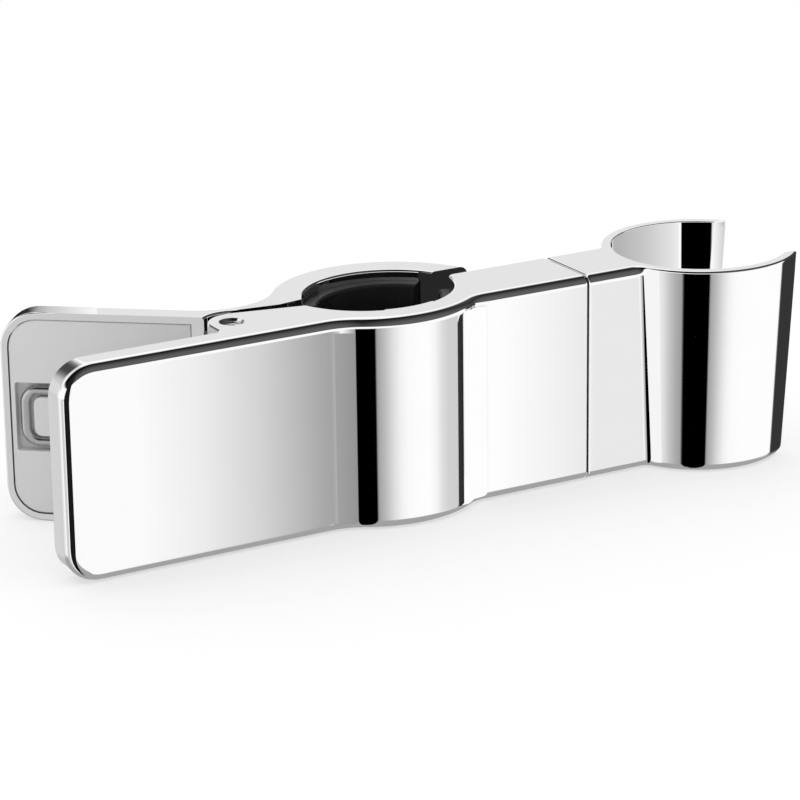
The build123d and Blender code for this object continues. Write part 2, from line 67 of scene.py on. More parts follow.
mm = 0.001  # sizes below are in millimetres, Blender works in metres
tiny = 0.01  # places this close count as one
past = 1.0  # how far a cutter reaches beyond the face it cuts
roundSides = 64  # flats round a rod or a bored hole
crispAngle = 30  # edges sharper than this stay crisp
bevelSteps = {"corner": 14, "skin": 10, "rim": 4, "fine": 3}
half = round(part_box("clamp_body")[1].z / mm, 3)
jointPlaces = {joint["name"]: Vector(joint["pos_m"]) / mm for joint in frame["joints"]}
hinge, swivel = jointPlaces["jaw_hinge"], jointPlaces["cup_swivel"]


# Handling of objects

def clearSelection():
    bpy.ops.object.select_all(action="DESELECT")


def makeActive(piece):
    clearSelection()
    piece.select_set(True)
    bpy.context.view_layer.objects.active = piece


def applyModifier(piece, modifier):
    makeActive(piece)
    bpy.ops.object.modifier_apply(modifier=modifier.name)


def add(operator, name, **settings):
    clearSelection()
    operator(**settings)
    piece = bpy.context.object
    piece.name = piece.data.name = name
    return piece


def enterEdit():
    bpy.ops.object.mode_set(mode="EDIT")


def editAll(piece):
    makeActive(piece)
    enterEdit()
    bpy.ops.mesh.select_all(action="SELECT")


def leaveEdit():
    bpy.ops.object.mode_set(mode="OBJECT")


def settle(piece):
    makeActive(piece)
    bpy.ops.object.transform_apply(location=True, rotation=True, scale=True)


# A drawing plane: where it starts, its two directions and the direction it faces
class DrawingPlane:
    def __init__(self, start, along, across):
        self.start, self.along, self.across = Vector(start), Vector(along), Vector(across)
        self.facing = self.along.cross(self.across)

    def place(self, point, level):
        flat = self.along * point[0] + self.across * point[1]
        return (self.start + flat + self.facing * level) * mm


plan = DrawingPlane((0, 0, 0), (1, 0, 0), (0, 1, 0))


def angleOf(x, y):
    return degrees(atan2(y, x))


def heading(angle):
    return Vector((cos(radians(angle)), sin(radians(angle))))


def shortTurn(angle):
    return (angle + 180) % 360 - 180


def arc(centre, radius, start, end, step=2.0, count=None):
    count = count or max(2, ceil(abs(end - start) / step))
    turns = [radians(start + (end - start) * i / count) for i in range(count + 1)]
    return [(centre[0] + radius * cos(t), centre[1] + radius * sin(t)) for t in turns]


def circle(centre, radius, sides):
    return arc(centre, radius, 0, 360 - 360 / sides, count=sides - 1)


def roundCorner(before, here, after, radius, count=8):
    before, here, after = Vector(before), Vector(here), Vector(after)
    back, ahead = (before - here).normalized(), (after - here).normalized()
    opening = back.angle(ahead) / 2
    centre = here + (back + ahead).normalized() * radius / sin(opening)
    start, end = (angleOf(*(here + side * radius / tan(opening) - centre)) for side in (back, ahead))
    return arc(centre, radius, start, start + shortTurn(end - start), count=count)


# Mesh steps that every casting and moulding goes through

def ring(name, points, plane, level):
    piece = add(bpy.ops.mesh.primitive_circle_add, name, vertices=len(points), radius=mm, fill_type="NGON")
    for vertex, point in zip(piece.data.vertices, points):
        vertex.co = plane.place(point, level)
    return piece


def faceOutwards(piece):
    editAll(piece)
    bpy.ops.mesh.normals_make_consistent(inside=False)
    leaveEdit()


def slab(name, points, plane, low, high):
    piece = ring(name, points, plane, low)
    editAll(piece)
    rise = plane.facing * (high - low) * mm
    bpy.ops.mesh.extrude_region_move(TRANSFORM_OT_translate={"value": rise})
    leaveEdit()
    faceOutwards(piece)
    return piece


def stack(name, outlineAt, levels):
    # one ring per level, each extruded from the last and set on its own outline
    first = outlineAt(levels[0])
    piece = ring(name, first, plan, 0)
    editAll(piece)
    for level in levels[1:]:
        bpy.ops.mesh.extrude_region_move(TRANSFORM_OT_translate={"value": (0, 0, mm)})
    leaveEdit()
    finder = kdtree.KDTree(len(first))
    for i, point in enumerate(first):
        finder.insert((*point, 0), i)
    finder.balance()
    outlines = [outlineAt(level) for level in levels]
    for vertex in piece.data.vertices:
        k = round(vertex.co.z / mm)
        i = finder.find((*(vertex.co.xy / mm), 0))[1]
        vertex.co = plan.place(outlines[k][i], levels[k])
    faceOutwards(piece)
    return piece


def selectEdges(piece, test):
    makeActive(piece)
    enterEdit()
    bpy.ops.mesh.select_mode(type="EDGE")
    bpy.ops.mesh.select_all(action="DESELECT")
    leaveEdit()
    places = [vertex.co / mm for vertex in piece.data.vertices]
    chosen = 0
    for edge in piece.data.edges:
        a, b = (places[i] for i in edge.vertices)
        edge.select = test(a, b)
        chosen += edge.select
    print("  ", piece.name, chosen, "edges chosen")


def onTop(a, b, height=half):
    # an edge of the upper or the lower face
    return abs(a.z) > height - tiny and abs(a.z - b.z) < tiny


def bevelEdges(piece, test, radius, kind):
    selectEdges(piece, test)
    enterEdit()
    bpy.ops.mesh.bevel(
        offset=radius * mm, offset_type="OFFSET", segments=bevelSteps[kind], profile=0.5,
        affect="EDGES", clamp_overlap=False,
    )
    leaveEdit()


def combine(piece, tool, operation):
    change = piece.modifiers.new("combine", "BOOLEAN")
    change.operation, change.object, change.solver = operation, tool, "EXACT"
    applyModifier(piece, change)
    bpy.data.objects.remove(tool)


def cut(piece, tool):
    combine(piece, tool, "DIFFERENCE")


def weld(piece, tool):
    combine(piece, tool, "UNION")


def rod(name, radius, length, centre, along="Z"):
    turn = {"X": (0, pi / 2, 0), "Z": (0, 0, 0)}[along]
    piece = add(
        bpy.ops.mesh.primitive_cylinder_add, name, vertices=roundSides, radius=radius * mm, depth=length * mm,
        location=Vector(centre) * mm, rotation=turn,
    )
    settle(piece)
    return piece


def polish(piece):
    makeActive(piece)
    bpy.ops.object.shade_smooth_by_angle(angle=radians(crispAngle))
    weigh = piece.modifiers.new("weigh", "WEIGHTED_NORMAL")
    weigh.keep_sharp = True
    applyModifier(piece, weigh)
    return piece


# Front casting: lever, jaw, hinge ears and arm

frontCasting = {
    "faceY": -13.9, "leverEndX": -55.8, "leverBackY": -9.3, "armEndX": 30.05, "armBackY": -1.6,
    "bulgeRadius": 17.7, "boreRadius": 13.0, "leverBlend": 9.0, "armBlend": 6.0,
    "leverCorner": 5.2, "skinRound": 1.5, "rimRound": 0.4, "seamRound": 0.35,
    "lugLeftX": -28.8, "lugBackY": -1.9, "lugRightX": -23.3, "lugRadius": 4.3, "lugSteps": 24,
    "lugCorner": 0.8, "hornAngle": 199.0, "hornRound": 0.6, "mouthRound": 1.2,
    "earInside": 12.1, "pocketRadius": 4.7, "pinHole": 1.52, "pinChamfer": 0.35,
    "inlayStart": 29.85, "inlayEnd": 54.75, "inlayDepth": 1.87, "rimWidth": 1.05,
    "insertHole": 3.02, "insertDepth": 10.2, "discHole": 4.42, "discDepth": 0.6,
    "stopHole": 1.02, "stopDepth": 5.0, "stopOrbit": 6.1,
}


def hornCentre(horn, slope, inward, c):
    # where the round at a jaw's horn is struck from, measured from the rail
    start = horn + inward * c["hornRound"]
    along, reach = start.dot(slope), c["boreRadius"] + c["hornRound"]
    return start + slope * (sqrt(along**2 - start.length_squared + reach**2) - along)


def offRail(y, reach):
    # the point at this y that is this far from the rail's middle
    return sqrt(reach**2 - y**2), y


def frontOutline(c):
    face, bulge, bore = c["faceY"], c["bulgeRadius"], c["boreRadius"]
    points = [(c["leverEndX"], face)]
    # lever into bulge, round the bulge, and out along the arm
    x, y = offRail(face - c["leverBlend"], bulge + c["leverBlend"])
    left, right = (-x, y), offRail(face - c["armBlend"], bulge + c["armBlend"])
    leftTurn, rightTurn = angleOf(-left[0], -left[1]), angleOf(-right[0], -right[1])
    points += arc(left, c["leverBlend"], 90, leftTurn)
    points += arc((0, 0), bulge, 180 + leftTurn, 180 + rightTurn, step=1.5)[1:-1]
    points += arc(right, c["armBlend"], rightTurn, 90)
    points += [(c["armEndX"], face), (c["armEndX"], c["armBackY"])]
    # mouth, bore and the jaw's horn
    mouth = offRail(c["armBackY"] - c["mouthRound"], bore + c["mouthRound"])
    points += arc(mouth, c["mouthRound"], 90, 180 + angleOf(*mouth), step=8)
    horn = heading(c["hornAngle"]) * bore
    lugRight = Vector((c["lugRightX"], c["lugBackY"]))
    slope = (lugRight - horn).normalized()
    inward = Vector((-slope.y, slope.x))
    centre = hornCentre(horn, slope, inward, c)
    hornTurn = angleOf(*centre)
    points += arc((0, 0), bore, angleOf(*mouth), hornTurn)[1:-1]
    sweep = shortTurn(angleOf(*-inward) - hornTurn - 180)
    points += arc(centre, c["hornRound"], hornTurn + 180, hornTurn + 180 + sweep, step=10)
    # lug, and back along the lever
    lugLeft = (c["lugLeftX"], c["lugBackY"])
    foot = (c["lugLeftX"], c["leverBackY"])
    end = (c["leverEndX"], c["leverBackY"])
    points += roundCorner(centre, lugRight, lugLeft, c["lugRadius"])
    points += roundCorner(lugRight, lugLeft, foot, c["lugRadius"], c["lugSteps"])
    points += roundCorner(lugLeft, foot, end, c["lugCorner"])
    return points + [end]


def inlayOutline(start, end, corner, width):
    # square at the hinge and round at the lever's end
    points = [(start, -width), *roundCorner((start, -width), (end, -width), (end, width), corner)]
    return points + [*roundCorner((end, -width), (end, width), (start, width), corner), (start, width)]


def cutInlaySeat(body, c, plane, low, high):
    rim = c["rimWidth"]
    seat = inlayOutline(c["inlayStart"], c["inlayEnd"], c["leverCorner"] - rim, half - rim)
    cut(body, slab("inlaySeat", seat, plane, low, high))


def pinMouths(piece, hole, chamfer):
    # the pin's hole through the ears, with a small cone at each mouth
    levels = [-half - past, -half + chamfer, half - chamfer, half + past]

    def outline(level):
        return circle(hinge.xy, hole + max(0, abs(level) - half + chamfer), roundSides)

    cut(piece, stack("pinBore", outline, levels))


def makeFront():
    c = frontCasting
    body = slab("clampBody", frontOutline(c), plan, -half, half)
    face, endX, corner = c["faceY"], c["leverEndX"], c["leverCorner"]

    def atLeverEnd(a, b):
        return max(a.x, b.x) < endX + corner + tiny

    def leverCorners(a, b):
        return onTop(a, b) and max(a.x, b.x) < endX + tiny

    def backRims(a, b):
        rim = onTop(a, b) and min(a.y, b.y) > face + c["skinRound"] and min(a.x, b.x) < c["armEndX"] - tiny
        return rim or (atLeverEnd(a, b) and min(a.y, b.y) > c["leverBackY"] - tiny)

    def frontSkin(a, b):
        return max(a.y, b.y) < face + tiny and (onTop(a, b) or atLeverEnd(a, b))

    def armEnd(a, b):
        return min(a.x, b.x) > c["armEndX"] - tiny

    bevelEdges(body, leverCorners, corner, "corner")
    bevelEdges(body, backRims, c["rimRound"], "rim")
    bevelEdges(body, frontSkin, c["skinRound"], "skin")
    bevelEdges(body, armEnd, c["seamRound"], "rim")
    # room between the ears
    r = c["pocketRadius"]
    drop = asin((c["leverBackY"] - hinge.y) / r)
    pocket = [(hinge.x - 2 * r, c["leverBackY"])]
    pocket += arc(hinge, r, 180 - degrees(drop), 360)
    pocket += [(hinge.x + r, hinge.y + 2 * r), (hinge.x - 2 * r, hinge.y + 2 * r)]
    cut(body, slab("earPocket", pocket, plan, -c["earInside"], c["earInside"]))
    pinMouths(body, c["pinHole"], c["pinChamfer"])
    # seat of the inlay
    back = DrawingPlane((0, c["leverBackY"], 0), (-1, 0, 0), (0, 0, 1))
    cutInlaySeat(body, c, back, -c["inlayDepth"], past)
    # seats of the swivel in the arm's end
    end = c["armEndX"]
    for name, radius, depth, side in (
        ("insertSeat", c["insertHole"], c["insertDepth"], 0),
        ("discSeat", c["discHole"], c["discDepth"], 0),
        ("stopSeat", c["stopHole"], c["stopDepth"], c["stopOrbit"]),
    ):
        cut(body, rod(name, radius, depth + past, (end - (depth - past) / 2, swivel.y, side), "X"))
    return polish(body)


# Back casting: lever, jaw and the inner ears

backCasting = {
    "flare": 38.0, "leverReach": 34.6, "leverInner": 1.5, "leverOuter": 5.9, "leverCorner": 5.5,
    "closure": 14.0, "jawRadius": 18.5, "boreRadius": 13.0, "boreStart": 158.0, "valleyBlend": 9.5,
    "knee": (8.6, 6.2), "tipY": 0.7, "skinRound": 1.2, "rimRound": 0.4, "innerRound": 0.25,
    "hornRound": 0.6, "lug": (-24.5, -6.2), "notchRadius": 5.3, "notchRound": 0.45, "notchSides": 144,
    "earRadius": 4.2, "earOutside": 11.95, "earInside": 8.85, "webDepth": 5.2, "springPocket": 3.6,
    "pinHole": 1.55, "innerRimStart": 2.0,
    "inlayStart": 6.2, "inlayEnd": 33.55, "inlayDepth": 2.57, "rimWidth": 1.05,
    "legRoom": 10.5, "legDepth": 1.76, "seatGap": 0.02,
}
flareTurn = radians(backCasting["flare"])
alongLever = Vector((-cos(flareTurn), sin(flareTurn), 0))
behindLever = Vector((sin(flareTurn), cos(flareTurn), 0))
leverFace = DrawingPlane(hinge + behindLever * backCasting["leverInner"], alongLever, (0, 0, 1))


def besideLever(along, behind):
    place = hinge + alongLever * along + behindLever * behind
    return (place.x, place.y)


def gripPoint(x, y):
    # a point drawn in the pose in which the jaws grip, turned to the rest pose
    turn = radians(backCasting["closure"])
    return (hinge.x + x * cos(turn) + y * sin(turn), hinge.y - x * sin(turn) + y * cos(turn))


restRail = Vector(gripPoint(-hinge.x, -hinge.y))


def crossing(point, way, other, otherWay):
    point, way, other, otherWay = Vector(point), Vector(way), Vector(other), Vector(otherWay)
    side = Vector((-otherWay.y, otherWay.x))
    return point + way * (other - point).dot(side) / way.dot(side)


def valleyCentre(c):
    # where the round between the jaw's back and the lever's back is struck from
    rail = restRail - hinge.xy
    behind = c["leverOuter"] + c["valleyBlend"]
    away = rail.dot(behindLever.xy) - behind
    reach = sqrt((c["jawRadius"] + c["valleyBlend"]) ** 2 - away**2)
    return Vector(besideLever(rail.dot(alongLever.xy) + reach, behind))


def backOutline(c):
    bore, jaw = c["boreRadius"], c["jawRadius"]
    tip = asin((c["tipY"] - restRail.y) / bore), asin((c["tipY"] - restRail.y) / jaw)
    # inner side: lever face, step at the hinge, parting line, bore
    turn = radians(c["closure"])
    lugX = (Vector(c["lug"]) - hinge.xy).dot(Vector((cos(turn), -sin(turn))))
    stepTop = Vector(gripPoint(lugX, c["notchRadius"]))
    step = crossing(besideLever(0, c["leverInner"]), alongLever.xy, stepTop, (sin(turn), cos(turn)))
    knee = Vector(gripPoint(*c["knee"]))
    horn = heading(c["boreStart"]) * bore
    slope = (knee - restRail - horn).normalized()
    inward = Vector((slope.y, -slope.x))
    centre = hornCentre(horn, slope, inward, c)
    hornTurn, lineTurn = angleOf(*centre), angleOf(*-inward)
    points = [besideLever(c["leverReach"], c["leverInner"]), tuple(step), tuple(stepTop), tuple(knee)]
    sweep = shortTurn(hornTurn + 180 - lineTurn)
    points += arc(centre + restRail, c["hornRound"], lineTurn, lineTurn + sweep, step=10)
    points += arc(restRail, bore, hornTurn, degrees(tip[0]))[1:]
    # outer side: jaw, valley and the lever's back
    blend, valley = c["valleyBlend"], valleyCentre(c)
    valleyTurn = angleOf(*(valley - restRail))
    points += arc(restRail, jaw, degrees(tip[1]), valleyTurn, step=1.5)
    endTurn = angleOf(*-behindLever.xy)
    sweep = shortTurn(endTurn - valleyTurn - 180)
    points += arc(valley, blend, valleyTurn + 180, valleyTurn + 180 + sweep)[1:]
    return points + [besideLever(c["leverReach"], c["leverOuter"])]


def lever(place):
    # distance along the back lever and behind the pin
    out = place - hinge
    return out.dot(alongLever), out.dot(behindLever)


def notchTool(c, side):
    # a turned cutter whose rim flares, so the notch gets a round edge
    r, flare = c["notchRadius"], c["notchRound"]
    levels = [c["earOutside"], half - flare]
    levels += [half - flare + flare * sin(radians(t)) for t in range(15, 91, 15)] + [half + past]

    def outline(level):
        rise = max(0, level - half + flare)
        grow = flare - sqrt(max(0, flare**2 - min(rise, flare) ** 2))
        return circle(c["lug"], r + grow, c["notchSides"])

    tool = stack("notch", outline, levels)
    if side < 0:
        for vertex in tool.data.vertices:
            vertex.co.z = -vertex.co.z
        faceOutwards(tool)
    return tool


def makeBack():
    c = backCasting
    body = slab("backJaw", backOutline(c), plan, -half, half)

    def atLeverEnd(a, b):
        return min(lever(a)[0], lever(b)[0]) > c["leverReach"] - c["leverCorner"] - tiny

    def leverCorners(a, b):
        return onTop(a, b) and min(lever(a)[0], lever(b)[0]) > c["leverReach"] - tiny

    def onSkin(a):
        onJaw = abs((a.xy - restRail).length - c["jawRadius"]) < tiny
        inValley = abs((a.xy - valleyCentre(c)).length - c["valleyBlend"]) < tiny
        return abs(lever(a)[1] - c["leverOuter"]) < tiny or onJaw or inValley

    def outerSkin(a, b):
        return onSkin(a) and onSkin(b) and (onTop(a, b) or atLeverEnd(a, b))

    def boreRims(a, b):
        return onTop(a, b) and max((p.xy - restRail).length for p in (a, b)) < c["boreRadius"] + tiny

    def innerRims(a, b):
        outward = min(lever(a)[0], lever(b)[0]) > c["innerRimStart"]
        onFace = all(abs(lever(p)[1] - c["leverInner"]) < tiny for p in (a, b))
        return outward and onFace and (onTop(a, b) or atLeverEnd(a, b))

    bevelEdges(body, leverCorners, c["leverCorner"], "corner")
    bevelEdges(body, boreRims, c["rimRound"], "rim")
    bevelEdges(body, outerSkin, c["skinRound"], "skin")
    bevelEdges(body, innerRims, c["innerRound"], "fine")
    # ears on the pin and their webs
    r = c["earRadius"]
    ear = [(hinge.x + r, hinge.y + c["webDepth"]), (hinge.x, hinge.y + c["webDepth"])]
    ear += arc(hinge, r, 90, 360)
    for low, high in ((c["earInside"], c["earOutside"]), (-c["earOutside"], -c["earInside"])):
        weld(body, slab("ear", ear, plan, low + c["seatGap"], high - c["seatGap"]))
    for side in (1, -1):
        cut(body, notchTool(c, side))
    # room for the spring, the inlay and the pin
    cut(body, rod("springRoom", c["springPocket"], 2 * c["earInside"], hinge))
    legs = [(0, -c["legRoom"] / 2), (c["inlayStart"] + tiny, -c["legRoom"] / 2)]
    legs += [(x, -y) for x, y in reversed(legs)]
    cut(body, slab("legRoom", legs, leverFace, -past, c["legDepth"]))
    cutInlaySeat(body, c, leverFace, -past, c["inlayDepth"])
    cut(body, rod("pinBore", c["pinHole"], 3 * half, hinge))
    return polish(body)


# Cup and its stub, lofted from level to level

cupCasting = {
    "centreX": 53.8, "centreY": -8.1, "lean": 0.2, "topRadius": 15.1, "bottomRadius": 13.75, "wall": 1.7,
    "slot": 20.0, "mouthTurn": -3.0, "footRound": 1.2, "rimRound": 0.4, "lipRound": 0.12, "insideRound": 0.15,
    "stubX": 30.35, "stubFrontY": -13.9, "stubBackY": -1.6, "stubRound": 1.5, "stubBackRound": 0.4,
    "valleyRound": 2.0, "seamRound": 0.35,
    "bushHole": 3.22, "bushLength": 5.6, "counterbore": 4.6, "stopOrbit": 6.1, "stopGroove": 1.2,
    "stopDepth": 1.5, "stopAngle": 40.0,
    "wallRings": 16, "ringGap": 0.008, "valleySteps": 8, "outerSteps": 80, "innerSteps": 132, "lipSteps": 6,
}


def roundInset(level, radius, edge):
    # how far a rounded edge has drawn in at this height
    over = max(0.0, radius - (edge - level)) if edge > 0 else max(0.0, radius - (level - edge))
    return radius - sqrt(max(0.0, radius**2 - over**2))


def edgeInset(level, radius, height):
    # the same for edges at this height above and below the middle
    return max(roundInset(level, radius, edge) for edge in (height, -height))


def cupOutline(level):
    c = cupCasting
    rise = (level + half) / (2 * half)
    centre = Vector((c["centreX"] - c["lean"] * (1 - rise), c["centreY"]))
    foot, rim = roundInset(level, c["footRound"], -half), roundInset(level, c["rimRound"], half)
    outer = c["bottomRadius"] + (c["topRadius"] - c["bottomRadius"]) * rise
    inner = outer - c["wall"] + edgeInset(level, c["insideRound"], half)
    outer -= max(foot, rim)
    front = c["stubFrontY"] + edgeInset(level, c["stubRound"], half)
    back = c["stubBackY"] - edgeInset(level, c["stubBackRound"], half)
    v, lip, gap, turn = c["valleyRound"], c["lipRound"], c["slot"] / 2, c["mouthTurn"]
    lipY = gap + lip
    lipOuter = sqrt((outer - lip) ** 2 - lipY**2)
    lipInner = sqrt((inner + lip) ** 2 - lipY**2)
    outerTurn, innerTurn = angleOf(lipOuter, lipY), angleOf(lipInner, lipY)

    def turned(x, y):
        return centre + Matrix.Rotation(radians(turn), 2) @ Vector((x, y))

    def valley(y, side):
        dy = y + side * v - centre.y
        return Vector((centre.x - sqrt((outer + v) ** 2 - dy**2), y + side * v))

    frontValley, backValley = valley(front, -1), valley(back, 1)
    frontTurn = angleOf(*(centre - frontValley))
    backTurn = angleOf(*(centre - backValley))
    onValley, onOuter, onInner, onLip = (c[key + "Steps"] for key in ("valley", "outer", "inner", "lip"))
    points = [(c["stubX"], front)]
    points += arc(frontValley, v, 90, frontTurn, count=onValley)
    points += arc(centre, outer, 180 + frontTurn, 360 + turn - outerTurn, count=onOuter)[1:-1]
    points += arc(turned(lipOuter, -lipY), lip, turn - outerTurn, turn + 90, count=onLip)
    points += arc(turned(lipInner, -lipY), lip, turn + 90, turn + 180 - innerTurn, count=onLip)
    points += arc(centre, inner, 360 + turn - innerTurn, turn + innerTurn, count=onInner)[1:-1]
    points += arc(turned(lipInner, lipY), lip, turn - 180 + innerTurn, turn - 90, count=onLip)
    points += arc(turned(lipOuter, lipY), lip, turn - 90, turn + outerTurn, count=onLip)
    points += arc(centre, outer, turn + outerTurn, 180 + backTurn, count=onOuter)[1:-1]
    points += arc(backValley, v, backTurn, -90, count=onValley)
    return points + [(c["stubX"], back)]


def cupLevels():
    # heights of the rings, closer together where an edge is rounded
    c = cupCasting

    def depths(*radii):
        found = sorted({r * (1 - sin(radians(t))) for r in radii for t in range(0, 91, 10)})
        return [0.0] + [d for before, d in zip(found, found[1:]) if d - before > c["ringGap"]]

    low = [-half + d for d in depths(c["footRound"], c["stubRound"], c["rimRound"])]
    high = [half - d for d in reversed(depths(c["stubRound"], c["rimRound"]))]
    span = (high[0] - low[-1]) / c["wallRings"]
    return low + [low[-1] + span * i for i in range(1, c["wallRings"])] + high


def makeCup():
    c = cupCasting
    body = stack("holderCup", cupOutline, cupLevels())

    def stubEnd(a, b):
        return max(a.x, b.x) < c["stubX"] + tiny

    # the stub's end as one face, then its rounded seam edge
    selectEdges(body, stubEnd)
    enterEdit()
    bpy.ops.mesh.select_mode(type="FACE")
    bpy.ops.mesh.dissolve_faces()
    leaveEdit()
    bevelEdges(body, stubEnd, c["seamRound"], "rim")
    # seats of the swivel, and the groove of its stop pin
    x, long = c["stubX"], c["bushLength"]
    cut(body, rod("bushSeat", c["bushHole"], long + 2 * past, (x + long / 2, swivel.y, 0), "X"))
    deep = c["centreX"] - x - long
    cut(body, rod("headSeat", c["counterbore"], deep, (x + long + deep / 2, swivel.y, 0), "X"))
    seam = DrawingPlane((x, swivel.y, 0), (0, 1, 0), (0, 0, 1))
    a, r, g = c["stopAngle"], c["stopOrbit"], c["stopGroove"]
    groove = arc((0, 0), r + g, 90 - a, 90 + a)
    ends = [heading(t) * r for t in (90 + a, 90 - a)]
    groove += arc(ends[0], g, 90 + a, 270 + a, step=10)[1:-1]
    groove += arc((0, 0), r - g, 90 + a, 90 - a)
    groove += arc(ends[1], g, 270 - a, 450 - a, step=10)[1:-1]
    cut(body, slab("stopGroove", groove, seam, -past, c["stopDepth"]))
    return polish(body)


# Inlays, liners, pin and spring

backInlay = {
    "start": 6.32, "end": 33.43, "corner": 4.33, "width": 14.83, "sink": 0.15, "thickness": 2.3, "edge": 0.2,
    "grooveEnd": 32.75, "grooveWidth": 5.25, "grooveCorner": 0.4, "grooveFloor": 1.61,
    "padStart": 6.42, "padEnd": 30.1, "padWidth": 3.0, "padRound": 1.2, "padEdge": 0.3,
}
frontInlay = {
    "start": 29.97, "end": 54.63, "corner": 4.03, "width": 14.83, "sink": 0.15, "thickness": 1.6, "edge": 0.2,
}


def plate(name, c, plane):
    # the inlay's outer face is the plane's near side
    points = inlayOutline(c["start"], c["end"], c["corner"], c["width"])
    piece = slab(name, points, plane, c["sink"], c["sink"] + c["thickness"])

    def nearRim(a, b):
        return all(abs((p - plane.start).dot(plane.facing) - c["sink"]) < tiny for p in (a, b))

    bevelEdges(piece, nearRim, c["edge"], "fine")
    return piece


def makeBackInlay():
    c = backInlay
    piece = plate("backLeverPanel", c, leverFace)
    groove = inlayOutline(0, c["grooveEnd"], c["grooveCorner"], c["grooveWidth"])
    cut(piece, slab("groove", groove, leverFace, -past, c["sink"] + c["grooveFloor"]))
    pad = inlayOutline(c["padStart"], c["padEnd"], c["padRound"], c["padWidth"])
    block = slab("pad", pad, leverFace, c["sink"] + tiny, c["sink"] + c["thickness"] - tiny)

    def padRim(a, b):
        return all((p - leverFace.start).dot(leverFace.facing) < c["sink"] + 2 * tiny for p in (a, b))

    bevelEdges(block, padRim, c["padEdge"], "rim")
    weld(piece, block)
    return polish(piece)


def makeFrontInlay():
    back = DrawingPlane((0, frontCasting["leverBackY"], 0), (-1, 0, 0), (0, 0, -1))
    piece = plate("frontLeverPanel", frontInlay, back)
    return polish(piece)


liner = {"inner": 11.0, "outer": 12.95, "halfHeight": 14.35, "rimRound": 0.4, "endGap": 2.0}


def makeLiner(name, centre, start, end):
    c = liner
    gap = degrees(c["endGap"] / frontCasting["boreRadius"])
    start, end = start + gap, end - gap

    def outline(level):
        grow = edgeInset(level, c["rimRound"], c["halfHeight"])
        return arc(centre, c["outer"], start, end) + arc(centre, c["inner"] + grow, end, start)

    top = [c["halfHeight"] - c["rimRound"] * (1 - sin(radians(t))) for t in range(0, 91, 15)]
    piece = stack(name, outline, [-z for z in reversed(top)] + top)
    middle = Vector(centre)

    def endRims(a, b):
        upright = abs(a.z - b.z) > c["halfHeight"]
        out = a.xy - middle
        near = min((out.normalized() - heading(turn)).length for turn in (start, end)) < tiny
        return upright and near and out.length < c["inner"] + tiny

    bevelEdges(piece, endRims, c["rimRound"], "rim")
    return polish(piece)


hingePin = {"radius": 1.5, "recess": 0.6, "chamfer": 0.35, "dimple": 0.55}


def makePin():
    c = hingePin
    long = half - c["recess"]
    piece = rod("hingePin", c["radius"], 2 * long, hinge)

    def rims(a, b):
        return onTop(a, b, long)

    bevelEdges(piece, rims, c["chamfer"], "fine")
    for side in (1, -1):
        ball = add(
            bpy.ops.mesh.primitive_uv_sphere_add, "dimple", segments=32, ring_count=16,
            radius=c["dimple"] * mm, location=plan.place(hinge, side * long),
        )
        settle(ball)
        cut(piece, ball)
    return polish(piece)


spring = {
    "wireRadius": 0.75, "coilRadius": 2.45, "pitch": 1.7, "turns": 2, "legZ": 3.95,
    "bailAlong": 31.45, "bailBend": 2.0, "legReach": 24.0, "coilStart": -90,
    "stepsPerTurn": 40, "legSteps": 8, "wireSteps": 8, "mergeWithin": 0.001, "blend": (-1.5, 2.5),
}


def springRoute():
    # upper half of the wire, from the middle of the bail to the free leg's end
    c = spring
    r, z, bend = c["coilRadius"], c["legZ"], c["bailBend"]
    legs, steps, coilStart = c["legSteps"], c["stepsPerTurn"], c["coilStart"]

    def beside(along, height):
        return Vector((*besideLever(along, r), height))

    def onCoil(turn, height):
        return hinge + Vector((*heading(turn) * r, height))

    route = [beside(c["bailAlong"], 0), beside(c["bailAlong"], (z - bend) / 2)]
    for x, y in arc((c["bailAlong"] - bend, z - bend), bend, 0, 90, step=10):
        route.append(beside(x, y))
    route += [beside((c["bailAlong"] - bend) * (1 - i / legs), z) for i in range(1, legs)]
    route += [onCoil(turn, z) for turn in range(int(angleOf(*behindLever.xy)), coilStart, -360 // steps)]
    for i in range(c["turns"] * steps + 1):
        route.append(onCoil(coilStart - 360 * i / steps, z + c["pitch"] * i / steps))
    last = route[-1]
    route += [last - Vector((c["legReach"] * i / legs, 0, 0)) for i in range(1, legs + 1)]
    return route


def makeSpring():
    upper = springRoute()
    lower = [Vector((p.x, p.y, -p.z)) for p in upper[1:]]
    route = list(reversed(lower)) + upper
    wire = add(bpy.ops.curve.primitive_nurbs_path_add, "torsionSpring")
    wire.data.splines.clear()
    line = wire.data.splines.new("POLY")
    line.points.add(len(route) - 1)
    for point, place in zip(line.points, route):
        point.co = (*(place * mm), 1)
    wire.data.dimensions = "3D"
    wire.data.bevel_depth = spring["wireRadius"] * mm
    wire.data.bevel_resolution = spring["wireSteps"]
    wire.data.use_fill_caps = True
    wire.data.twist_mode = "MINIMUM"
    makeActive(wire)
    bpy.ops.object.convert(target="MESH")
    piece = bpy.context.object
    settle(piece)
    editAll(piece)
    bpy.ops.mesh.remove_doubles(threshold=spring["mergeWithin"] * mm)
    leaveEdit()
    faceOutwards(piece)
    return polish(piece)


# Shader maths as plain sums

